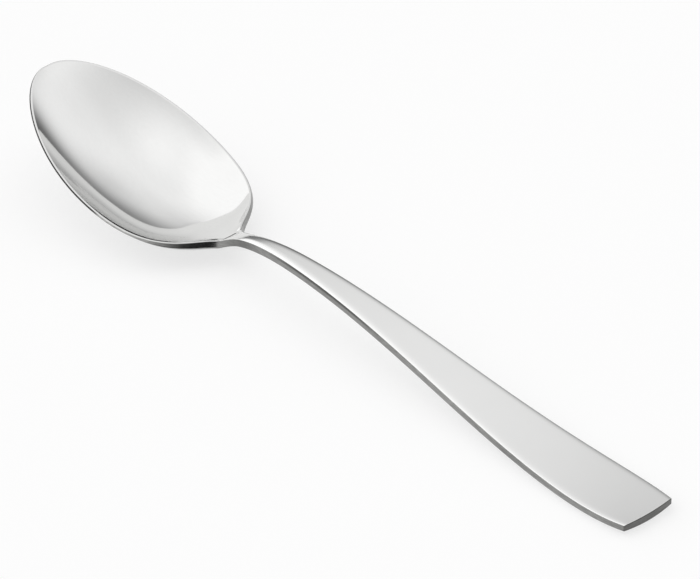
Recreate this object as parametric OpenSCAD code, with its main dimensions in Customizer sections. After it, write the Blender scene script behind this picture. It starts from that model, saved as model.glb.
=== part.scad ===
// Rice serving spoon, polished stainless steel.
// Lengths are in millimetres and angles in degrees. The spoon lies bowl up on a table at z = 0,
// with the tip of its bowl at -X and the end of its handle at +X.

/* [Overall] */
// Length from the upper edge of the bowl's tip to the end of the handle
total_l = 250.2; // [225:0.1:280]

/* [Bowl] */
// Length from the tip to the corner where the bowl runs into the neck
bowl_l = 82.7; // [76:0.1:92]
// Width of the bowl at its widest place
bowl_w = 50.3; // [40:0.1:60]
// Depth of the bowl below its rim, at its widest place
bowl_depth = 10.6; // [8:0.1:14]
// Power of the bowl's cross-section: 2 is a parabola, and more is flatter in the middle
bowl_power = 2.4; // [2:0.1:4]
// Power with which the bowl gets shallower where it is narrower
bowl_taper = 2.3; // [1.5:0.1:3]
// Distance from the tip to the widest place
widest_at = 43.2; // [38:0.1:48]
// Width of the short straight edge at the tip
tip_w = 2.4; // [1:0.1:6]
// Reach of the curve that leaves the tip sideways
tip_round = 9.4; // [6:0.1:13]
// Reach of the curve on the tip's side of the widest place
tip_shoulder = 25; // [18:0.5:32]
// Reach of the curve on the heel's side of the widest place
heel_shoulder = 30; // [22:0.5:34]
// Angle between the bowl's edge and the neck, where they would meet
heel_angle = 43; // [35:1:60]
// Reach of the bowl's curve into the heel
heel_lead = 7.5; // [4:0.5:11]
// Length of each leg of the round between bowl and neck
heel_fillet = 4; // [2:0.1:6]
// Slope of the heel's floor, below the line of the edge
heel_slope = 24; // [18:0.5:30]
// Distance ahead of the heel corner where the bowl's floor starts to change into that slope
heel_slope_from = 20; // [14:0.5:26]
// Distance ahead of the heel corner where the slope is reached
heel_slope_full = 10.5; // [6:0.5:13]
// Distance ahead of the heel corner where the slope comes out at the edge's level
heel_slope_end = 2; // [1:0.1:4]
// Reach of the round at the end of the slope
heel_slope_round = 0.6; // [0.3:0.1:1.2]
// Thickness at the rim
rim_t = 0.5; // [0.4:0.05:1.2]
// Width of the level land on top of the rim
rim_land = 0.6; // [0.4:0.05:1]
// Angle at which the rim's edge leans out, from upright
rim_angle = 40; // [20:1:55]
// Growth of the lean for each millimetre that the edge gets thicker
lean_growth = 0.25; // [0:0.05:0.4]
// Length ahead of the neck over which the rim's land and lean run out
rim_runout = 9; // [4:0.5:12]
// Length ahead of the neck over which the rim gets thicker
rim_thickening = 27; // [18:0.5:40]
// Extra thickness in the middle of the bowl
bowl_swell = 1.7; // [0.3:0.05:2]
// Length behind the tip over which that thickness builds up
swell_lead = 15; // [8:1:25]

/* [Neck] */
// Width of the neck
neck_w = 4.4; // [3.6:0.1:7]
// Thickness of the neck at its edges
neck_t = 2.4; // [1.8:0.1:3.6]
// Rise of the neck's upper face between its edges
neck_crown = 0.5; // [0.2:0.05:0.9]
// Distance ahead of the neck's narrowest place where the crown starts
crown_start = 6.5; // [2:0.5:10]
// Distance behind the neck's narrowest place where the crown is full
crown_full = 10; // [4:0.5:20]

/* [Handle] */
// Angle at which each side of the handle leaves the neck
flare_angle = 2.4; // [1:0.1:4]
// Length over which the sides keep that angle
flare_l = 107; // [80:1:120]
// Width of the handle across the corners of its end
end_w = 18.4; // [14:0.1:24]
// Angle at which each side draws in towards the end
end_draw = 11.3; // [4:0.1:15]
// Length over which the sides draw in
end_draw_l = 21; // [12:0.5:26]
// Bow of the end, seen from above
end_bow = 0.6; // [0:0.05:1.5]
// Thickness of the end at its corners
end_t = 1.8; // [1.4:0.1:3]
// Rise of the upper face at the end, between its edges
end_crown = 0.16; // [0.04:0.02:0.4]
// Power of the crown at the end: more is flatter between rolled edges
end_power = 20; // [4:1:28]
// Width of the outermost strip of the upper face
edge_strip = 0.35; // [0.2:0.05:0.6]
// Drop of the handle's underside between its edges
under_crown = 0.5; // [0.2:0.05:0.9]

/* [Side profile] */
// Height of the tip above the lowest place of the rim
tip_rise = 21; // [14:0.2:26]
// Slope of the rim at the tip
tip_slope = 14.5; // [10:0.5:20]
// Length over which the rim keeps the tip's slope
tip_lead = 16.5; // [10:0.5:22]
// Distance of the rim's lowest place ahead of the bowl's heel corner
dip_in = 3; // [1:0.5:6]
// Length over which the rim levels out to its lowest place
dip_lead = 30; // [20:0.5:36]
// Length over which the neck leaves the rim's lowest place
neck_lead = 2; // [1:0.5:6]
// Distance of the crest of the arch behind the heel corner
crest_out = 28; // [22:0.5:36]
// Height of the crest above the lowest place of the rim
crest_rise = 6; // [3:0.1:9]
// Length over which the neck levels out to the crest
crest_lead = 23; // [15:0.5:27]
// Length over which the handle leaves the crest
back_lead = 43; // [30:1:60]
// Distance of the place where the handle rests, ahead of its end
foot_in = 17; // [10:0.5:24]
// Length over which the handle levels out to where it rests
foot_lead = 45; // [30:1:60]
// Lift of the end's corners above the place where the handle rests
end_lift = 0.7; // [0:0.1:2]
// Depth of the flats on which the spoon stands
rest_flat = 0.12; // [0.05:0.01:0.18]

/* [Smoothness] */
// Strips across the bowl and the handle
strips = 20; // [12:2:28]
// Steps along each half of the bowl
bowl_steps = 16; // [10:1:24]
// Steps round the heel
heel_steps = 6; // [3:1:10]
// Steps along the handle
handle_steps = 36; // [20:1:60]

/* [Hidden] */
steel = [0.82, 0.82, 0.82];

// Reach of the rim's lean, and places along the spoon, from the tip's upper edge
rim_lean = rim_t * sin(rim_angle);
dip_at = bowl_l - dip_in;
neck_at = bowl_l + heel_fillet;
crest_at = bowl_l + crest_out;
foot_at = total_l - foot_in;
corner_at = total_l - end_bow;

// Point on a cubic curve, and its height where it passes x
function cubic(p, t) =
    pow(1 - t, 3) * p[0] + 3 * t * pow(1 - t, 2) * p[1] + 3 * t * t * (1 - t) * p[2] + pow(t, 3) * p[3];
function share_at(p, x, low = 0, high = 1, halvings = 30) =
    let (mid = (low + high) / 2)
    halvings == 0 ? mid
    : cubic(p, mid)[0] < x ? share_at(p, x, mid, high, halvings - 1)
    : share_at(p, x, low, mid, halvings - 1);
function height_on(p, x) = cubic(p, share_at(p, x))[1];

// Direction square to a cubic curve, to the left of its run
function outward(p, t) =
    let (run = pow(1 - t, 2) * (p[1] - p[0]) + 2 * t * (1 - t) * (p[2] - p[1]) + t * t * (p[3] - p[2]))
    [-run[1], run[0]] / norm(run);

// Smooth change from 0 at a to 1 at b
function ease(a, b, x) = let (t = min(1, max(0, (x - a) / (b - a)))) t * t * (3 - 2 * t);

// Half of the upper edge seen from above, as distances from the tip and half widths
heel_corner = [bowl_l, neck_w / 2];
heel_way = [-cos(heel_angle), sin(heel_angle)];
flare_way = [1, tan(flare_angle)];
widest = [widest_at, bowl_w / 2];
heel_start = heel_corner + heel_fillet * heel_way;
neck_edge = heel_corner + heel_fillet * flare_way;
end_corner = [corner_at, end_w / 2];
tip_curve = [
    [0, tip_w / 2],
    [0, tip_w / 2 + tip_round],
    widest - [tip_shoulder, 0],
    widest
];
heel_curve = [
    widest,
    widest + [heel_shoulder, 0],
    heel_start + heel_lead * heel_way,
    heel_start
];
heel_round = [
    heel_start,
    (heel_start + 2 * heel_corner) / 3,
    (neck_edge + 2 * heel_corner) / 3,
    neck_edge
];
side_curve = [
    neck_edge,
    neck_edge + flare_l * flare_way,
    end_corner + end_draw_l * [-1, tan(end_draw)],
    end_corner
];

// Stations along the edge, each with its point and its outward direction
function stations(p, first, steps) =
    [for (i = [first : steps]) [cubic(p, i / steps), outward(p, i / steps)]];
bowl_plan = concat(
    stations(tip_curve, 0, bowl_steps),
    stations(heel_curve, 1, bowl_steps),
    stations(heel_round, 1, heel_steps)
);
handle_plan = stations(side_curve, 0, handle_steps);

// Share of the handle's length behind the neck
function along(x) = max(0, (x - neck_at) / (corner_at - neck_at));

// Thickness at the edge, and how far its lower edge lies outside and below the upper one. The lean
// grows where the rim gets thicker.
function edge_t(x) =
    x < neck_at ? rim_t + (neck_t - rim_t) * ease(neck_at - rim_thickening, neck_at, x)
    : neck_t + (end_t - neck_t) * along(x);
function rim_share(x) = 1 - ease(neck_at - rim_runout, neck_at, x);
function lean(x) = (rim_lean + lean_growth * (edge_t(x) - rim_t)) * rim_share(x);
function edge_drop(x) = sqrt(pow(edge_t(x), 2) - pow(lean(x), 2));

// Width of the land along the upper edge, and the point and half width at its inner side
function land(x) = edge_strip + (rim_land - edge_strip) * rim_share(x);
function inner(s) = let (x = s[0][0]) s[0] - land(x) * [s[1][0] * rim_share(x), s[1][1]];
function lower_edge(s) = s[0] + lean(s[0][0]) * s[1];

// How much thicker the middle is than the edge's side is high
function run_in(x) = ease(bowl_l - heel_slope_from, neck_at, x);
function swell(x) =
    (edge_t(x) - edge_drop(x) + bowl_swell + (under_crown - bowl_swell) * run_in(x)) * ease(0, swell_lead, x);

// Depth of the heel's slope below the edge. It runs out in a small round ahead of the neck.
function heel_depth(x) =
    let (ahead = bowl_l - heel_slope_end - x)
    tan(heel_slope) * (ahead + norm([ahead, heel_slope_round])) / 2
    * (1 - ease(bowl_l - heel_slope_end, neck_at, x));

// Depth of the hollow on the middle line, which is the bowl's and then the heel's, and crown of the
// handle above its edges
function hollow(s) =
    let (
        p = inner(s),
        bowl_part = bowl_depth * pow(p[1] / (bowl_w / 2 - rim_land), bowl_taper),
        heel_share = ease(bowl_l - heel_slope_from, bowl_l - heel_slope_full, p[0])
    )
    bowl_part + (heel_depth(p[0]) - bowl_part) * heel_share;
function crown(x, v) =
    (end_crown + (neck_crown - end_crown) * pow(1 - along(x), 2))
    * ease(neck_at - crown_start, neck_at + crown_full, x)
    * (1 - pow(abs(v), 2 + (end_power - 2) * along(x)));

// Height of the edge above the table. The bowl's belly sets how high its rim stands.
rim_curve = [
    [0, tip_rise],
    [tip_lead, tip_rise - tip_lead * tan(tip_slope)],
    [dip_at - dip_lead, 0],
    [dip_at, 0]
];
neck_curve = [
    [dip_at, 0],
    [dip_at + neck_lead, 0],
    [crest_at - crest_lead, crest_rise],
    [crest_at, crest_rise]
];
function rise(x) = height_on(x < dip_at ? rim_curve : neck_curve, x);
function drop(s) = hollow(s) + edge_drop(s[0][0]) + swell(s[0][0]);
dip_h = max([for (s = bowl_plan) drop(s) - rise(s[0][0])]) - rest_flat;
crest_h = dip_h + crest_rise;
foot_h = edge_drop(foot_at) + swell(foot_at) - rest_flat;
back_curve = [
    [crest_at, crest_h],
    [crest_at + back_lead, crest_h],
    [foot_at - foot_lead, foot_h],
    [foot_at, foot_h]
];
function edge_h(x) =
    x < crest_at ? dip_h + rise(x)
    : x < foot_at ? height_on(back_curve, x)
    : foot_h + end_lift * pow((x - foot_at) / (corner_at - foot_at), 2);

// Rows of points on the upper face and on the underside, from edge to edge. Each row has a point at
// either edge, and between them points spread over the width inside the land.
across = [for (j = [0 : strips]) 2 * j / strips - 1];
function columns(s) = let (inside = min(0.97, inner(s)[1] / s[0][1])) [-1, each inside * across, 1];
function placed(x, y, z, v) =
    [x - (total_l - rim_lean) / 2 + end_bow * pow(along(x), 4) * (1 - v * v), y, z];
function upper_row(s) =
    let (x = s[0][0], half = s[0][1], p = inner(s), v = columns(s))
    [
        placed(x, -half, edge_h(x), 1),
        for (j = [0 : strips])
            let (out = v[j + 1], share = across[j])
            placed(
                p[0], half * out,
                edge_h(p[0]) - hollow(s) * (1 - pow(abs(share), bowl_power)) + crown(p[0], out), out
            ),
        placed(x, half, edge_h(x), 1)
    ];
function lower_row(s) =
    let (x = s[0][0], q = lower_edge(s))
    [
        for (v = columns(s))
            let (hollow_drop = hollow(s) * (1 - pow(abs(v), bowl_power)))
            placed(
                q[0], q[1] * v,
                max(0, edge_h(x) - edge_drop(x) - hollow_drop - swell(x) * (1 - v * v)), v
            )
    ];

// Solid between the upper face and the underside of a stretch of the edge. Where the land goes round
// the front too, as at the tip, two fans close it: the land's, and the edge's below it.
module sheet(plan, land_in_front) {
    last = len(plan) - 1;
    wide = strips + 3;
    under = len(plan) * wide;
    points = concat([for (s = plan) each upper_row(s)], [for (s = plan) each lower_row(s)]);
    cells = [for (i = [0 : last - 1]) for (j = [0 : wide - 2]) i * wide + j];
    top = [for (c = cells) each [[c, c + 1, c + wide], [c + 1, c + wide + 1, c + wide]]];
    bottom = [
        for (c = cells)
            let (u = c + under)
            each [[u, u + wide, u + 1], [u + 1, u + wide, u + wide + 1]]
    ];
    sides = [
        for (i = [0 : last - 1])
            let (a = i * wide, b = a + wide - 1, c = a + under, d = b + under)
            each [
                [a, a + wide, c + wide], [a, c + wide, c],
                [b, d, d + wide], [b, d + wide, b + wide]
            ]
    ];
    front_strip = [
        for (a = [0 : wide - 2])
            each [[a, a + under, a + 1 + under], [a, a + 1 + under, a + 1]]
    ];
    front_fans = concat(
        [for (a = [1 : wide - 2]) [0, a + 1, a]],
        [[wide - 1, 0, under]],
        [for (a = [under : under + wide - 2]) [wide - 1, a, a + 1]]
    );
    back = [
        for (j = [0 : wide - 2])
            let (b = last * wide + j)
            each [[b, b + 1, b + 1 + under], [b, b + 1 + under, b + under]]
    ];
    front = land_in_front ? front_fans : front_strip;
    polyhedron(points, concat(top, bottom, sides, front, back), convexity = 6);
}

// Bowl with its neck, up to the neck's narrowest place
module bowl() {
    color(steel)
        sheet(bowl_plan, true);
}

// Handle from the neck's narrowest place to the end
module handle() {
    color(steel)
        sheet(handle_plan, false);
}

bowl();
handle();
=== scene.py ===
import math

import bmesh
import bpy
import numpy as np
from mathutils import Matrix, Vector


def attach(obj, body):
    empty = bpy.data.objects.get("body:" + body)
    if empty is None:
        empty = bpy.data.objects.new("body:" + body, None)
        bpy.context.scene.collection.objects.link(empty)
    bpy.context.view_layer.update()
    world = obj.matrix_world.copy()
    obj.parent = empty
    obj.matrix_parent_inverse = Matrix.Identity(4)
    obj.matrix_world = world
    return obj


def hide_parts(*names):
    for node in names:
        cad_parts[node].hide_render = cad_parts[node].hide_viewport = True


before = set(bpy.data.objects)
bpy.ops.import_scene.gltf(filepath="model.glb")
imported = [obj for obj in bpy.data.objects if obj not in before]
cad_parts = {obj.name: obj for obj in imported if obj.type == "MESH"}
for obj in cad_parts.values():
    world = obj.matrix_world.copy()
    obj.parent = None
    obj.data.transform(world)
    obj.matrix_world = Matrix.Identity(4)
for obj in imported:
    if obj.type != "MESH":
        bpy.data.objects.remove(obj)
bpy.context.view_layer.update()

# Rice serving spoon: one stamping of polished steel, shown as its bowl and its handle.
# Shape sizes are in millimetres from the tip of the bowl. Finished pieces are in metres.
MM = 0.001

# Overall
TOTAL_L = 250.2

# Bowl. A lead is how far a curve follows its first or last direction.
BOWL_L = 82.7  # from the tip to the corner of heel and neck
BOWL_W = 50.3
BOWL_DEPTH = 10.6
BOWL_POWER = 2.4  # of the hollow's section: 2 is a parabola, and more is flatter in the middle
BOWL_TAPER = 2.3  # power of the width that the hollow's depth follows
WIDEST_AT = 43.2
TIP_W = 2.4  # short straight edge at the tip
TIP_ROUND = 9.4  # lead of the outline at the tip
TIP_SHOULDER = 25.0  # its leads ahead of and behind the widest place
HEEL_SHOULDER = 30.0
HEEL_ANGLE = math.radians(43.0)  # between the outline at the heel and the middle line
HEEL_LEAD = 7.5
HEEL_FILLET = 4.0  # reach of the round between heel and neck
HEEL_SLOPE = math.radians(24.0)
HEEL_SLOPE_FROM = 20.0  # where the slope starts, is full and ends, ahead of the heel's corner
HEEL_SLOPE_FULL = 10.5
HEEL_SLOPE_END = 2.0
HEEL_SLOPE_ROUND = 0.6
RIM_T = 0.5
RIM_LAND = 0.6  # level strip on top of the rim
RIM_ANGLE = math.radians(40.0)  # lean of the rim's side from upright
LEAN_GROWTH = 0.25  # added lean for each millimetre that the rim gets thicker
RIM_RUNOUT = 9.0  # stretch ahead of the neck where land and lean run out
RIM_THICKENING = 27.0  # stretch ahead of the neck where the rim gets thicker
BOWL_SWELL = 1.7  # extra thickness on the middle line
SWELL_LEAD = 15.0  # stretch behind the tip where it grows

# Neck and handle
NECK_W = 4.4
NECK_T = 2.4
NECK_CROWN = 0.5  # rise of the upper face's middle
NECK_POWER = 2.0  # of the crown's section
CROWN_FALL = 2.0  # power of the crown's fall along the handle
CROWN_LEAD_IN = 6.5  # stretches ahead of and behind the neck where the crown grows
CROWN_FULL_IN = 10.0
FLARE_ANGLE = math.radians(2.4)  # of the handle's side at the neck
FLARE_L = 107.0  # lead of the side at the neck, along the spoon
END_W = 18.4
END_DRAW = math.radians(11.3)  # of the handle's side at the end, where it draws in
END_DRAW_L = 21.0  # lead of the side at the end, along the spoon
END_BOW = 0.6  # how far the middle of the end stands out
END_BOW_POWER = 4.0  # of the bow's growth along the handle
END_T = 1.8
END_CROWN = 0.16
END_POWER = 20.0
UNDER_CROWN = 0.5

# Side profile of the edge
TIP_RISE = 21.0  # above the dip
TIP_SLOPE = math.radians(14.5)
TIP_LEAD = 16.5
DIP_IN = 3.0  # the rim's lowest place, ahead of the heel's corner
DIP_LEAD = 30.0
NECK_LEAD = 2.0
CREST_OUT = 28.0  # the handle's highest place, behind the heel's corner
CREST_RISE = 6.0  # above the dip
CREST_LEAD = 23.0
BACK_LEAD = 43.0
FOOT_IN = 17.0  # the handle's lowest place, ahead of its end
FOOT_LEAD = 45.0
END_LIFT = 0.7
REST_FLAT = 0.12  # depth of the two flats on which the spoon rests

# Rounded edges: reach of each round along the faces that meet there
LAND_ROUND = 0.04
RIM_ROUND = 0.1
HANDLE_ROUND = 0.35
SIDE_ROUND = 0.25
UNDER_ROUND = 0.25
CORNER_ROUND = HANDLE_ROUND + LAND_ROUND

# Cells of the mesh: across the faces, along each stretch of the outline, and round the edge
ACROSS = 80
TIP_CELLS = 76
HEEL_CELLS = 66
ROUND_CELLS = 22
SIDE_CELLS = 190
CORNER_CELLS = 6
LAND_ROUND_CELLS = 3
EDGE_ROUND_CELLS = 4
EDGE_WALL_CELLS = 6

# Fineness of the curves' samples and of two searches, and the gap that a weld closes
CURVE_SAMPLES = 4000
BELLY_STEP = 0.5
SIDE_END_HALVINGS = 40
WELD_GAP = 0.0005

# Reach of the rim's lean, and places along the spoon
RIM_LEAN = RIM_T * math.sin(RIM_ANGLE)
DIP_AT = BOWL_L - DIP_IN
NECK_AT = BOWL_L + HEEL_FILLET
CREST_AT = BOWL_L + CREST_OUT
FOOT_AT = TOTAL_L - FOOT_IN
CORNER_AT = TOTAL_L - END_BOW

# View: where the camera stands, and what it looks at
IMAGE_W = 700
VIEW_AZIMUTH = math.radians(47.13)
VIEW_ELEVATION = math.radians(34.94)
VIEW_DISTANCE = 1500.0
VIEW_PIXELS_PER_MM = 3.543
VIEW_TARGET = Vector((6.2, 0.0, 15.76))
VIEW_REACH = 100.0  # in metres
SENSOR_W = 36.0


class Curve:
    """A cubic curve with four control points, walked in even steps or read at a distance from the tip."""

    def __init__(self, start, leave, arrive, end):
        self.controls = [np.array(p, float) for p in (start, leave, arrive, end)]
        self.shares = np.linspace(0.0, 1.0, CURVE_SAMPLES)
        self.points = np.array([self.at(t) for t in self.shares])
        steps = np.linalg.norm(np.diff(self.points, axis=0), axis=1)
        self.walked = np.concatenate(([0.0], np.cumsum(steps)))

    def at(self, t):
        a, b, c, d = self.controls
        s = 1.0 - t
        return s ** 3 * a + 3 * s * s * t * b + 3 * s * t * t * c + t ** 3 * d

    def outward(self, t):
        """Direction square to the curve, to the left of its run."""
        a, b, c, d = self.controls
        s = 1.0 - t
        run = s * s * (b - a) + 2 * s * t * (c - b) + t * t * (d - c)
        run = run / np.linalg.norm(run)
        return np.array((-run[1], run[0]))

    def even_shares(self, cells, until=1.0):
        """Shares of the curve that cut it into cells of one length."""
        length = np.interp(until, self.shares, self.walked)
        return np.interp(np.linspace(0.0, length, cells + 1), self.walked, self.shares)

    def height(self, x):
        return float(np.interp(x, self.points[:, 0], self.points[:, 1]))


def ease(a, b, x):
    """Smooth change from 0 at a to 1 at b."""
    t = min(1.0, max(0.0, (x - a) / (b - a)))
    return t * t * (3.0 - 2.0 * t)


def rounded(start, corner, end, t):
    """Point on the round that replaces the corner between two edges."""
    s = 1.0 - t
    return s * s * start + 2.0 * s * t * corner + t * t * end


# Half of the outline seen from above. The round at the heel bends about one corner, so its two middle
# points lie two thirds of the way to it.
heel_corner = np.array((BOWL_L, NECK_W / 2))
heel_way = np.array((-math.cos(HEEL_ANGLE), math.sin(HEEL_ANGLE)))
flare_way = np.array((1.0, math.tan(FLARE_ANGLE)))
draw_way = np.array((-1.0, math.tan(END_DRAW)))
widest = np.array((WIDEST_AT, BOWL_W / 2))
heel_start = heel_corner + HEEL_FILLET * heel_way
neck_edge = heel_corner + HEEL_FILLET * flare_way
end_corner = np.array((CORNER_AT, END_W / 2))
tip_curve = Curve(
    (0.0, TIP_W / 2),
    (0.0, TIP_W / 2 + TIP_ROUND),
    widest - (TIP_SHOULDER, 0.0),
    widest,
)
heel_curve = Curve(
    widest,
    widest + (HEEL_SHOULDER, 0.0),
    heel_start + HEEL_LEAD * heel_way,
    heel_start,
)
heel_round = Curve(
    heel_start,
    (heel_start + 2 * heel_corner) / 3,
    (neck_edge + 2 * heel_corner) / 3,
    neck_edge,
)
side_curve = Curve(
    neck_edge,
    neck_edge + FLARE_L * flare_way,
    end_corner + END_DRAW_L * draw_way,
    end_corner,
)
OUTLINE = (tip_curve, heel_curve, heel_round, side_curve)
TOP_EDGE = np.concatenate([curve.points for curve in OUTLINE])
TOP_OUTWARD = np.concatenate([[curve.outward(t) for t in curve.shares] for curve in OUTLINE])


def rim_share(x):
    """1 along the bowl's rim and 0 along the handle, with a smooth change ahead of the neck."""
    return 1.0 - ease(NECK_AT - RIM_RUNOUT, NECK_AT, x)


def land(x):
    """Width of the level land on top of the rim. On the handle it is the reach of the edge's round."""
    return HANDLE_ROUND + (RIM_LAND - HANDLE_ROUND) * rim_share(x)


def along(x):
    """Share of the handle's length behind the neck."""
    return max(0.0, (x - NECK_AT) / (CORNER_AT - NECK_AT))


def edge_thickness(x):
    if x < NECK_AT:
        return RIM_T + (NECK_T - RIM_T) * ease(NECK_AT - RIM_THICKENING, NECK_AT, x)
    return NECK_T + (END_T - NECK_T) * along(x)


def lean(x):
    """How far the lower edge lies outside the upper one. It grows where the rim gets thicker."""
    return (RIM_LEAN + LEAN_GROWTH * (edge_thickness(x) - RIM_T)) * rim_share(x)


LANDS = np.array([land(x) for x in TOP_EDGE[:, 0]])[:, None]
LEANS = np.array([lean(x) for x in TOP_EDGE[:, 0]])[:, None]
INNER_EDGE = TOP_EDGE - LANDS * TOP_OUTWARD
LOWER_EDGE = TOP_EDGE + LEANS * TOP_OUTWARD


def half_width(x, edge_line=TOP_EDGE):
    return float(np.interp(x, edge_line[:, 0], edge_line[:, 1]))


def edge_drop(x):
    """Height of the edge's side, which is lower than its thickness where it leans."""
    return math.sqrt(edge_thickness(x) ** 2 - lean(x) ** 2)


def handle_share(x):
    """0 in the bowl and 1 in the handle, with a smooth change ahead of the neck."""
    return ease(BOWL_L - HEEL_SLOPE_FROM, NECK_AT, x)


def swell(x):
    """Extra thickness on the middle line, from none at the tip."""
    full = BOWL_SWELL + (UNDER_CROWN - BOWL_SWELL) * handle_share(x)
    return (edge_thickness(x) - edge_drop(x) + full) * ease(0.0, SWELL_LEAD, x)


def heel_depth(x):
    """Depth of the heel's slope below the edge. It runs out in a small round ahead of the neck."""
    ahead = BOWL_L - HEEL_SLOPE_END - x
    fading = 1.0 - ease(BOWL_L - HEEL_SLOPE_END, NECK_AT, x)
    return math.tan(HEEL_SLOPE) * (ahead + math.hypot(ahead, HEEL_SLOPE_ROUND)) / 2 * fading


def hollow_depth(x):
    """Depth of the hollow on the middle line: the bowl's, and then the heel's even slope."""
    bowl = BOWL_DEPTH * (half_width(x, INNER_EDGE) / (BOWL_W / 2 - RIM_LAND)) ** BOWL_TAPER
    return bowl + (heel_depth(x) - bowl) * ease(BOWL_L - HEEL_SLOPE_FROM, BOWL_L - HEEL_SLOPE_FULL, x)


def hollow(x, y):
    return hollow_depth(x) * (1.0 - min(1.0, abs(y) / half_width(x, INNER_EDGE)) ** BOWL_POWER)


def crown(x, y):
    """Rise of the handle's upper face: round at the neck, flat with rolled edges at the end."""
    share = ease(NECK_AT - CROWN_LEAD_IN, NECK_AT + CROWN_FULL_IN, x)
    top = END_CROWN + (NECK_CROWN - END_CROWN) * (1.0 - along(x)) ** CROWN_FALL
    power = NECK_POWER + (END_POWER - NECK_POWER) * along(x)
    return top * share * (1.0 - min(1.0, abs(y) / half_width(x)) ** power)


# Height of the edge. The bowl's belly sets how high its rim stands.
rim_curve = Curve(
    (0.0, TIP_RISE),
    (TIP_LEAD, TIP_RISE - TIP_LEAD * math.tan(TIP_SLOPE)),
    (DIP_AT - DIP_LEAD, 0.0),
    (DIP_AT, 0.0),
)
neck_curve = Curve(
    (DIP_AT, 0.0),
    (DIP_AT + NECK_LEAD, 0.0),
    (CREST_AT - CREST_LEAD, CREST_RISE),
    (CREST_AT, CREST_RISE),
)


def rise(x):
    return rim_curve.height(x) if x < DIP_AT else neck_curve.height(x)


def belly_drop(x):
    return hollow_depth(x) + edge_drop(x) + swell(x) - rise(x)


dip_h = max(belly_drop(x) for x in np.arange(0.0, DIP_AT, BELLY_STEP)) - REST_FLAT
crest_h = dip_h + CREST_RISE
foot_h = edge_drop(FOOT_AT) + swell(FOOT_AT) - REST_FLAT
back_curve = Curve(
    (CREST_AT, crest_h),
    (CREST_AT + BACK_LEAD, crest_h),
    (FOOT_AT - FOOT_LEAD, foot_h),
    (FOOT_AT, foot_h),
)


def edge_height(x):
    if x < CREST_AT:
        return dip_h + rise(x)
    if x < FOOT_AT:
        return back_curve.height(x)
    return foot_h + END_LIFT * ((x - FOOT_AT) / (CORNER_AT - FOOT_AT)) ** 2


def upper_face(x, y):
    return edge_height(x) - hollow(x, y) + crown(x, y)


def under_face(x, y):
    """Height of the underside at a place inside the lower edge."""
    row = float(np.interp(x, LOWER_EDGE[:, 0], TOP_EDGE[:, 0]))
    inner_row = float(np.interp(x, LOWER_EDGE[:, 0], INNER_EDGE[:, 0]))
    out = min(1.0, abs(y) / half_width(x, LOWER_EDGE))
    hollow_drop = hollow_depth(inner_row) * (1.0 - out ** BOWL_POWER)
    return max(0.0, edge_height(row) - edge_drop(row) - hollow_drop - swell(row) * (1.0 - out * out))


def placed(x, y, z):
    """A point of the spoon in metres, with the bow of the handle's end."""
    bow = END_BOW * along(x) ** END_BOW_POWER * (1.0 - (y / half_width(x)) ** 2)
    return Vector((x - (TOTAL_L - RIM_LEAN) / 2 + bow, y, z)) * MM


class Station:
    """A place on the outline: its point, and the direction out of the spoon, seen from above."""

    def __init__(self, point, outward):
        self.point = np.array(point, float)
        self.outward = np.array(outward, float)

    def inset(self, reach):
        return self.point - reach * self.outward

    def upper(self, reach):
        """Point of the upper face, the given reach inside the upper edge."""
        x, y = self.inset(reach)
        return placed(x, y, upper_face(x, y))

    def under(self, reach):
        """Point of the underside, the given reach inside the lower edge."""
        x, y = self.inset(reach - lean(self.point[0]))
        return placed(x, y, under_face(x, y))

    def mirrored(self):
        return Station(self.point * (1.0, -1.0), self.outward * (1.0, -1.0))


def side_end(reach):
    """Share of the side, in its second half, where its inset line meets that of the handle's end."""
    low, high = 0.5, 1.0
    for _ in range(SIDE_END_HALVINGS):
        share = (low + high) / 2
        x = side_curve.at(share)[0] - reach * side_curve.outward(share)[0]
        if x < CORNER_AT - reach:
            low = share
        else:
            high = share
    return low


def side_stations():
    """Stations of one side, from the tip to the corner of the handle's end."""
    stations = [Station(tip_curve.at(0.0), tip_curve.outward(0.0))]
    for curve, cells in zip(OUTLINE, (TIP_CELLS, HEEL_CELLS, ROUND_CELLS, SIDE_CELLS)):
        until = side_end(CORNER_ROUND) if curve is side_curve else 1.0
        for share in curve.even_shares(cells, until)[1:]:
            stations.append(Station(curve.at(share), curve.outward(share)))
    return stations


def corner_stations(last):
    """Stations round the small corner between a side and the handle's end."""
    centre = last.inset(CORNER_ROUND)
    turn = math.atan2(last.outward[1], last.outward[0])
    stations = []
    for i in range(1, CORNER_CELLS + 1):
        angle = turn * (1.0 - i / CORNER_CELLS)
        outward = np.array((math.cos(angle), math.sin(angle)))
        stations.append(Station(centre + CORNER_ROUND * outward, outward))
    return stations


def across(station):
    """Stations along the short straight edge at the tip or at the handle's end, from +Y to -Y."""
    x, y = station.point
    shares = np.linspace(1.0, -1.0, ACROSS + 1)[1:-1]
    return [Station((x, y * share), station.outward) for share in shares]


SIDE = side_stations()
CORNER = corner_stations(SIDE[-1])


def whole_outline():
    """Stations all round the spoon, from the tip along +Y, round the handle's end and back along -Y."""
    half = SIDE + CORNER
    far_half = [station.mirrored() for station in reversed(half)]
    return half + across(half[-1]) + far_half + across(far_half[-1])


def upper_border(station):
    return station.inset(land(station.point[0]) + LAND_ROUND)


def under_border(station):
    return station.inset(CORNER_ROUND - lean(station.point[0]))


def grid_corners(bm, along_x, along_y):
    """Adds a flat grid from -1 to 1 each way, with the given counts of cells, and gives its corners."""
    return bmesh.ops.create_grid(bm, x_segments=along_x, y_segments=along_y, size=1.0)["verts"]


def line_number(coordinate, cells):
    """Number of the grid's line at a coordinate from -1 to 1."""
    return round((coordinate + 1.0) / 2.0 * cells)


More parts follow.
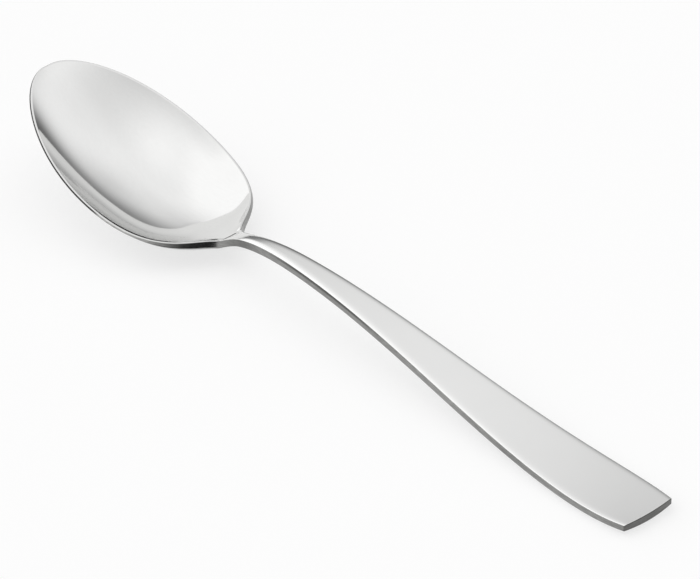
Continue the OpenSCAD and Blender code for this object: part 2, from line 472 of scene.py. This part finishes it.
def face(bm, border, height):
    """Adds a face of the spoon, up to its border inside the outline."""
    rows = len(SIDE) - 1
    borders = [border(station) for station in SIDE]
    for corner in grid_corners(bm, rows, ACROSS):
        x, half = borders[line_number(corner.co.x, rows)]
        y = half * corner.co.y
        corner.co = placed(x, y, height(x, y))


def section(station):
    """Points of the edge's section, from the upper face over land and side to the underside."""
    x = station.point[0]
    width = land(x)
    top_round = HANDLE_ROUND + (RIM_ROUND - HANDLE_ROUND) * rim_share(x)
    side_round = SIDE_ROUND + (RIM_ROUND - SIDE_ROUND) * rim_share(x)
    inner = station.upper(width)
    top = station.upper(0.0)
    low = station.under(0.0)
    land_start = inner.lerp(top, min(LAND_ROUND, width - top_round) / width)
    land_end = top.lerp(inner, top_round / width)
    wall = (low - top).length / MM
    wall_start = top.lerp(low, side_round / wall)
    wall_end = low.lerp(top, side_round / wall)
    points = []
    for i in range(LAND_ROUND_CELLS + 1):
        points.append(rounded(station.upper(width + LAND_ROUND), inner, land_start, i / LAND_ROUND_CELLS))
    for i in range(EDGE_ROUND_CELLS + 1):
        points.append(rounded(land_end, top, wall_start, i / EDGE_ROUND_CELLS))
    for i in range(1, EDGE_WALL_CELLS):
        points.append(wall_start.lerp(wall_end, i / EDGE_WALL_CELLS))
    for i in range(EDGE_ROUND_CELLS + 1):
        points.append(rounded(wall_end, low, station.under(UNDER_ROUND), i / EDGE_ROUND_CELLS))
    points.append(station.under(CORNER_ROUND))
    return points


# The side of the edge is ground, not polished, from a quarter of its upper round to the end of its lower
# one, and its dark colour is partly painted shade for the dark reflections of the side. These are the steps
# of the section, the attribute that runs from 0 to 1 down them, and their finish.
GROUND_FROM = LAND_ROUND_CELLS + 1 + EDGE_ROUND_CELLS // 4
GROUND_TO = LAND_ROUND_CELLS + 1 + EDGE_ROUND_CELLS + EDGE_WALL_CELLS + EDGE_ROUND_CELLS
EDGE_DOWN = "edge_down"
GROUND_FINISH_AND_PAINTED_SHADE = 1


def edge(bm):
    """Adds the edge all round the spoon."""
    sections = [section(station) for station in whole_outline()]
    sections.append(sections[0])
    around = len(sections) - 1
    steps = len(sections[0]) - 1
    down = bm.verts.layers.float[EDGE_DOWN]
    ground = set()
    for corner in grid_corners(bm, around, steps):
        place = line_number(corner.co.x, around)
        step = line_number(corner.co.y, steps)
        corner.co = sections[place][step]
        corner[down] = min(1.0, max(0.0, (step - GROUND_FROM) / (GROUND_TO - GROUND_FROM)))
        if GROUND_FROM <= step <= GROUND_TO:
            ground.add(corner)
    for side in {side for corner in ground for side in corner.link_faces}:
        if all(corner in ground for corner in side.verts):
            side.material_index = GROUND_FINISH_AND_PAINTED_SHADE


def spoon_skin():
    """The whole outside of the spoon as one closed skin."""
    bm = bmesh.new()
    bm.verts.layers.float.new(EDGE_DOWN)
    face(bm, upper_border, upper_face)
    face(bm, under_border, under_face)
    edge(bm)
    bmesh.ops.remove_doubles(bm, verts=bm.verts[:], dist=WELD_GAP * MM)
    bmesh.ops.recalc_face_normals(bm, faces=bm.faces[:])
    bm.normal_update()
    return bm


def finished(name, bm, normals):
    """An object at the origin, with its place in its mesh."""
    mesh = bpy.data.meshes.new(name)
    bm.to_mesh(mesh)
    bm.free()
    mesh.shade_smooth()
    if normals:
        mesh.normals_split_custom_set_from_vertices(normals)
    piece = bpy.data.objects.new(name, mesh)
    bpy.context.scene.collection.objects.link(piece)
    return piece


def part_of_skin(name, skin, keeps_handle):
    """The bowl's or the handle's share of the skin, closed where they meet at the neck."""
    bm = skin.copy()
    neck_x = placed(NECK_AT, 0.0, 0.0).x
    smooth = bm.verts.layers.float_vector.new("smooth")
    for corner in bm.verts:
        corner[smooth] = sum((f.normal * f.calc_area() for f in corner.link_faces), Vector()).normalized()
    others = [f for f in bm.faces if (f.calc_center_median().x > neck_x) != keeps_handle]
    bmesh.ops.delete(bm, geom=others, context="FACES")
    open_edges = [e for e in bm.edges if e.is_boundary]
    bmesh.ops.holes_fill(bm, edges=open_edges, sides=0)
    normals = [Vector(corner[smooth]) for corner in bm.verts]
    bm.verts.layers.float_vector.remove(smooth)
    return finished(name, bm, normals)


class Wire:
    """A socket of a node tree. Arithmetic on it adds Math nodes, and node adds any other node."""

    def __init__(self, tree, socket=None):
        self.tree = tree
        self.socket = socket

    def node(self, kind, settings=None, sockets=None, output=0):
        made = self.tree.nodes.new(kind)
        for name, value in (settings or {}).items():
            setattr(made, name, value)
        for name, value in (sockets or {}).items():
            if isinstance(value, Wire):
                self.tree.links.new(value.socket, made.inputs[name])
            else:
                made.inputs[name].default_value = value
        return Wire(self.tree, made.outputs[output] if made.outputs else None)

    def math(self, operation, first, second):
        return self.node("ShaderNodeMath", {"operation": operation}, {0: first, 1: second})

    def __add__(self, other):
        return self.math("ADD", self, other)

    def __radd__(self, other):
        return self.math("ADD", other, self)

    def __sub__(self, other):
        return self.math("SUBTRACT", self, other)

    def __rsub__(self, other):
        return self.math("SUBTRACT", other, self)

    def __mul__(self, other):
        return self.math("MULTIPLY", self, other)

    def __rmul__(self, other):
        return self.math("MULTIPLY", other, self)


def fresh_tree(owner):
    owner.use_nodes = True
    owner.node_tree.nodes.clear()
    return Wire(owner.node_tree)


# Steel: fine polishing lines, with larger clouds that are alike each way
LINE_DETAIL = 3.0
LINE_SHARE = 0.6
CLOUD_FINENESS = (1.0, 1.0, 1.0)
CLOUD_SCALE = 60.0
CLOUD_DETAIL = 2.0
NOISE_ROUGHNESS = 0.55
MOTTLE_MIDDLE = 0.5

# Painted shade and painted highlights on the ground edge, in place of the dark and bright reflections it
# would show: where each starts and where it is full. Foot and head are shares of the way down the edge,
# and the rest are millimetres along the spoon from its middle. Then, how much each shade changes.
SHADE_FOOT = (0.68, 1.0)
SHADE_HEAD = (0.41, 0.25)
SHADE_FRONT = (-73.5, -76.5)
SHADE_HEEL_IN = (-75.5, -72.5)
SHADE_HEEL_OUT = (-55.0, -60.0)
SHADE_NECK_IN = (-46.0, -40.0)
SHADE_NECK_OUT = (-28.0, -36.0)
SHADE_MIDDLE_IN = (-30.0, -12.0)
SHADE_MIDDLE_OUT = (30.0, 12.0)
SHADE_END = (124.2, 124.6)
FOOT_DARKER = 0.4
HEAD_DARKER = 0.7
FRONT_DARKER = 0.95
HEEL_BRIGHTER = 0.5
NECK_DARKER = 0.35
END_DARKER = 0.55


def drawn_noise(tree, place, fineness, scale, detail):
    """Noise that is finer along the axes with a greater fineness, and so is drawn out along the others."""
    drawn = tree.node("ShaderNodeMapping", {}, {"Vector": place, "Scale": fineness})
    settings = {"noise_dimensions": "3D"}
    sockets = {"Vector": drawn, "Scale": scale, "Detail": detail, "Roughness": NOISE_ROUGHNESS}
    return tree.node("ShaderNodeTexNoise", settings, sockets)


def ramp(tree, value, start, end):
    """Smooth change from 0 where the value is start to 1 where it is end."""
    smooth = {"interpolation_type": "SMOOTHSTEP"}
    return tree.node("ShaderNodeMapRange", smooth, {"Value": value, "From Min": start, "From Max": end})


def painted_edge_shade(tree, place):
    """Share of the ground edge's brightness, as painted shade and painted highlights in place of its
    reflections: dark at its foot, round the front of the bowl, at the neck, along its head in the middle of
    the handle and on the handle's end, and bright beside the heel."""
    down = tree.node("ShaderNodeAttribute", {"attribute_name": EDGE_DOWN}, output="Fac")
    x = tree.node("ShaderNodeSeparateXYZ", {}, {"Vector": place}, output="X")

    def lengthwise(start, full):
        return ramp(tree, x, start * MM, full * MM)

    foot = ramp(tree, down, *SHADE_FOOT)
    head = ramp(tree, down, *SHADE_HEAD)
    front = lengthwise(*SHADE_FRONT)
    heel = lengthwise(*SHADE_HEEL_IN) * lengthwise(*SHADE_HEEL_OUT)
    neck = lengthwise(*SHADE_NECK_IN) * lengthwise(*SHADE_NECK_OUT)
    middle = lengthwise(*SHADE_MIDDLE_IN) * lengthwise(*SHADE_MIDDLE_OUT)
    end = lengthwise(*SHADE_END)
    bowl_part = (1.0 - FRONT_DARKER * front) * (1.0 + HEEL_BRIGHTER * heel) * (1.0 - NECK_DARKER * neck)
    handle_part = (1.0 - HEAD_DARKER * head * middle) * (1.0 - END_DARKER * end)
    return bowl_part * (1.0 - FOOT_DARKER * foot) * handle_part


def steel(name, bright, dull, rough, rough_change, fineness, scale, bump, shade=None):
    """Steel with fine lines: its colour, roughness and surface follow the same lines."""
    material = bpy.data.materials.new(name)
    tree = fresh_tree(material)
    place = tree.node("ShaderNodeTexCoord", output="Object")
    lines = drawn_noise(tree, place, fineness, scale, LINE_DETAIL)
    clouds = drawn_noise(tree, place, CLOUD_FINENESS, CLOUD_SCALE, CLOUD_DETAIL)
    mottle = LINE_SHARE * lines + (1.0 - LINE_SHARE) * clouds
    # Where a shade is given, its painted shade and painted highlights scale the colour's share
    share = mottle * shade(tree, place) if shade else mottle
    # Inputs 6 and 7 and output 2 of a Mix node are its colours
    mix = {"data_type": "RGBA"}
    colour = tree.node("ShaderNodeMix", mix, {0: share, 6: (*dull, 1.0), 7: (*bright, 1.0)}, output=2)
    relief = {"Strength": 1.0, "Distance": bump, "Height": lines}
    normal = tree.node("ShaderNodeBump", {}, relief)
    shader = tree.node(
        "ShaderNodeBsdfPrincipled",
        {},
        {
            "Base Color": colour,
            "Metallic": 1.0,
            "Roughness": rough + rough_change * (mottle - MOTTLE_MIDDLE),
            "Normal": normal,
        },
    )
    tree.node("ShaderNodeOutputMaterial", {}, {"Surface": shader})
    return material


def direction(azimuth, elevation):
    """Unit direction: azimuth in degrees from +Y towards +X, elevation above the horizon."""
    a = math.radians(azimuth)
    e = math.radians(elevation)
    return Vector((math.sin(a) * math.cos(e), math.cos(a) * math.cos(e), math.sin(e)))


# Studio light: a dome that is bright overhead, with a soft top light, and dark at the horizon. On the left
# is a broad panel with an upright edge, which fades at its other end, and behind is a smaller one, with a
# dark gap between the two. On the right, where the camera stands, a dark screen hangs high over a long low
# panel, with a small one beside it. The large panels end a little above the horizon.
WHITE = (1.0, 1.0, 1.0, 1.0)
QUARTER_TURN = 90.0

# Levels of the lights. The top light adds to the dome, and the gap and the fade take shares away.
HORIZON_LEVEL = 0.16
DOME_MIDDLE = 0.82
DOME_HIGH = 1.15
TOP_LIGHT = 0.12
LEFT_PANEL = 1.33
LEFT_PANEL_FADE = 0.15
BACK_PANEL = 1.28
FRONT_PANEL = 0.9
LOW_PANEL = 0.95
GAP_DEPTH = 0.5
GAP_TOP_DEPTH = 0.15

# Places of the lights, in degrees: the azimuth and elevation of the middle, and the angles from there at
# which it ends and within which it is full
TOP_LIGHT_AT = (140.0, 76.0, 36.0, 2.0)
GAP_AT = (-30.0, 16.0, 30.0, 6.0)
GAP_TOP_AT = (-15.0, 35.0, 32.0, 8.0)
LEFT_PANEL_AT = (-110.0, 22.0, 64.0, 42.0)
LEFT_PANEL_FADE_AT = (-162.0, 38.0, 20.0, 4.0)
BACK_PANEL_AT = (39.0, 20.0, 47.0, 18.0)
SCREEN_AT = (100.0, -25.0, 109.0, 47.0)
FRONT_PANEL_AT = (120.0, 0.0, 70.0, 40.0)
LOW_PANEL_AT = (178.0, 12.0, 22.0, 12.0)

# Elevations between which the dome gets brighter, and between which a panel starts or ends
DOME_RISE = (2.0, 32.0)
DOME_HIGH_RISE = (22.0, 62.0)
PANEL_FOOT = (3.0, 11.0)
FRONT_PANEL_FOOT = (9.0, 17.0)
FRONT_PANEL_HEAD = (25.0, 42.0)

# Upright edge of the left panel: its azimuth, how far to each side it is blurred low down and high up, and
# the elevations between which that changes
LEFT_EDGE = -60.0
LEFT_EDGE_CRISP = 2.0
LEFT_EDGE_SOFT = 18.0
LEFT_EDGE_SOFTENS = (12.0, 30.0)


def studio_light():
    world = bpy.data.worlds.new("studio")
    bpy.context.scene.world = world
    tree = fresh_tree(world)
    way = tree.node("ShaderNodeTexCoord", output="Generated")

    def lobe(azimuth, elevation, ends_at, full_within):
        """1 near a direction and 0 away from it."""
        product = {"operation": "DOT_PRODUCT"}
        sockets = {0: way, 1: direction(azimuth, elevation)}
        facing = tree.node("ShaderNodeVectorMath", product, sockets, output="Value")
        angle = tree.math("ARCCOSINE", facing, 0.0)
        return ramp(tree, angle, math.radians(ends_at), math.radians(full_within))

    def above(start, full):
        """0 below the first elevation and 1 above the second."""
        return lobe(0.0, QUARTER_TURN, QUARTER_TURN - start, QUARTER_TURN - full)

    def left_of_edge(blur):
        return lobe(LEFT_EDGE - QUARTER_TURN, 0.0, QUARTER_TURN + blur, QUARTER_TURN - blur)

    def changed(level, to, mask):
        return level + (to - level) * mask

    level = HORIZON_LEVEL + (DOME_MIDDLE - HORIZON_LEVEL) * above(*DOME_RISE)
    level = level + (DOME_HIGH - DOME_MIDDLE) * above(*DOME_HIGH_RISE)
    level = level + TOP_LIGHT * lobe(*TOP_LIGHT_AT)
    level = level * (1.0 - GAP_DEPTH * lobe(*GAP_AT))
    level = level * (1.0 - GAP_TOP_DEPTH * lobe(*GAP_TOP_AT))
    above_foot = above(*PANEL_FOOT)
    crisp = left_of_edge(LEFT_EDGE_CRISP)
    soft = left_of_edge(LEFT_EDGE_SOFT)
    upright_edge = changed(crisp, soft, above(*LEFT_EDGE_SOFTENS))
    level = changed(level, LEFT_PANEL, lobe(*LEFT_PANEL_AT) * upright_edge * above_foot)
    level = level * (1.0 - LEFT_PANEL_FADE * lobe(*LEFT_PANEL_FADE_AT))
    level = changed(level, BACK_PANEL, lobe(*BACK_PANEL_AT) * above_foot)
    level = level * (1.0 - lobe(*SCREEN_AT))
    front = lobe(*FRONT_PANEL_AT) * above(*FRONT_PANEL_FOOT) * (1.0 - above(*FRONT_PANEL_HEAD))
    level = changed(level, FRONT_PANEL, front)
    level = changed(level, LOW_PANEL, lobe(*LOW_PANEL_AT))
    light = tree.node("ShaderNodeBackground", {}, {"Color": WHITE, "Strength": level})
    tree.node("ShaderNodeOutputWorld", {}, {"Surface": light})


# Floor, in metres: a matt disc just under the spoon. Rays from the camera, and those that mirrors and glass
# send on, see it as a mix with plain white.
FLOOR_RADIUS = 3.0
FLOOR_SEGMENTS = 128
FLOOR_DROP = 0.0001
FLOOR_PALE = (0.98, 0.98, 0.98, 1.0)
FLOOR_WHITE = 0.6


def pale_floor():
    bm = bmesh.new()
    bmesh.ops.create_circle(bm, cap_ends=True, segments=FLOOR_SEGMENTS, radius=FLOOR_RADIUS)
    bmesh.ops.translate(bm, verts=bm.verts[:], vec=(0.0, 0.0, -FLOOR_DROP))
    floor = finished("floor", bm, None)
    material = bpy.data.materials.new("pale_floor")
    tree = fresh_tree(material)
    matt = tree.node("ShaderNodeBsdfDiffuse", {}, {"Color": FLOOR_PALE})
    white = tree.node("ShaderNodeEmission", {}, {"Color": WHITE, "Strength": 1.0})
    seen = tree.node("ShaderNodeLightPath", output="Is Camera Ray")
    for ray in ("Is Glossy Ray", "Is Transmission Ray"):
        seen = tree.math("MAXIMUM", seen, tree.node("ShaderNodeLightPath", output=ray))
    shader = tree.node("ShaderNodeMixShader", {}, {0: FLOOR_WHITE * seen, 1: matt, 2: white})
    tree.node("ShaderNodeOutputMaterial", {}, {"Surface": shader})
    floor.data.materials.append(material)


def camera():
    level = math.cos(VIEW_ELEVATION)
    sideways = math.sin(VIEW_AZIMUTH) * level
    forward = -math.cos(VIEW_AZIMUTH) * level
    back = Vector((sideways, forward, math.sin(VIEW_ELEVATION)))
    data = bpy.data.cameras.new("camera")
    data.sensor_width = SENSOR_W
    data.lens = VIEW_PIXELS_PER_MM * VIEW_DISTANCE / IMAGE_W * SENSOR_W
    seat = bpy.data.objects.new("camera", data)
    seat.location = (VIEW_TARGET + back * VIEW_DISTANCE) * MM
    seat.rotation_mode = "QUATERNION"
    seat.rotation_quaternion = (-back).to_track_quat("-Z", "Y")
    data.clip_end = VIEW_REACH
    bpy.context.scene.collection.objects.link(seat)
    bpy.context.scene.camera = seat


camera()
studio_light()
pale_floor()

# Finishes: colours where the lines are brightest and dullest, roughness and how much it changes, and the
# height of the lines in metres
bowl_steel = steel(
    "bowl_steel",
    bright=(0.74, 0.74, 0.735),
    dull=(0.68, 0.68, 0.675),
    rough=0.07,
    rough_change=0.04,
    fineness=(1.0, 6.0, 6.0),
    scale=260.0,
    bump=1e-7,
)
handle_steel = steel(
    "handle_steel",
    bright=(0.83, 0.83, 0.825),
    dull=(0.77, 0.77, 0.765),
    rough=0.13,
    rough_change=0.06,
    fineness=(1.0, 12.0, 12.0),
    scale=200.0,
    bump=2e-7,
)
# Ground edge: its nearly black dull colour is partly painted shade, and its shade adds painted shade and
# painted highlights along it
edge_steel = steel(
    "edge_steel",
    bright=(0.5, 0.5, 0.49),
    dull=(0.04, 0.04, 0.038),
    rough=0.15,
    rough_change=0.08,
    fineness=(1.0, 1.0, 8.0),
    scale=420.0,
    bump=2e-6,
    shade=painted_edge_shade,
)

# Bowl and handle, each with its own polish and the same ground edge
skin = spoon_skin()
spoon_bowl = part_of_skin("spoon_bowl", skin, keeps_handle=False)
spoon_handle = part_of_skin("spoon_handle", skin, keeps_handle=True)
skin.free()
for piece, node, finish, slot in (
    (spoon_bowl, "bowl", bowl_steel, "polished_bowl"),
    (spoon_handle, "handle", handle_steel, "polished_handle"),
):
    piece.data.materials.append(finish)
    piece.data.materials.append(edge_steel)
    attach(piece, "root")
    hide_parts(node)

bpy.context.scene.view_settings.view_transform = "Standard"
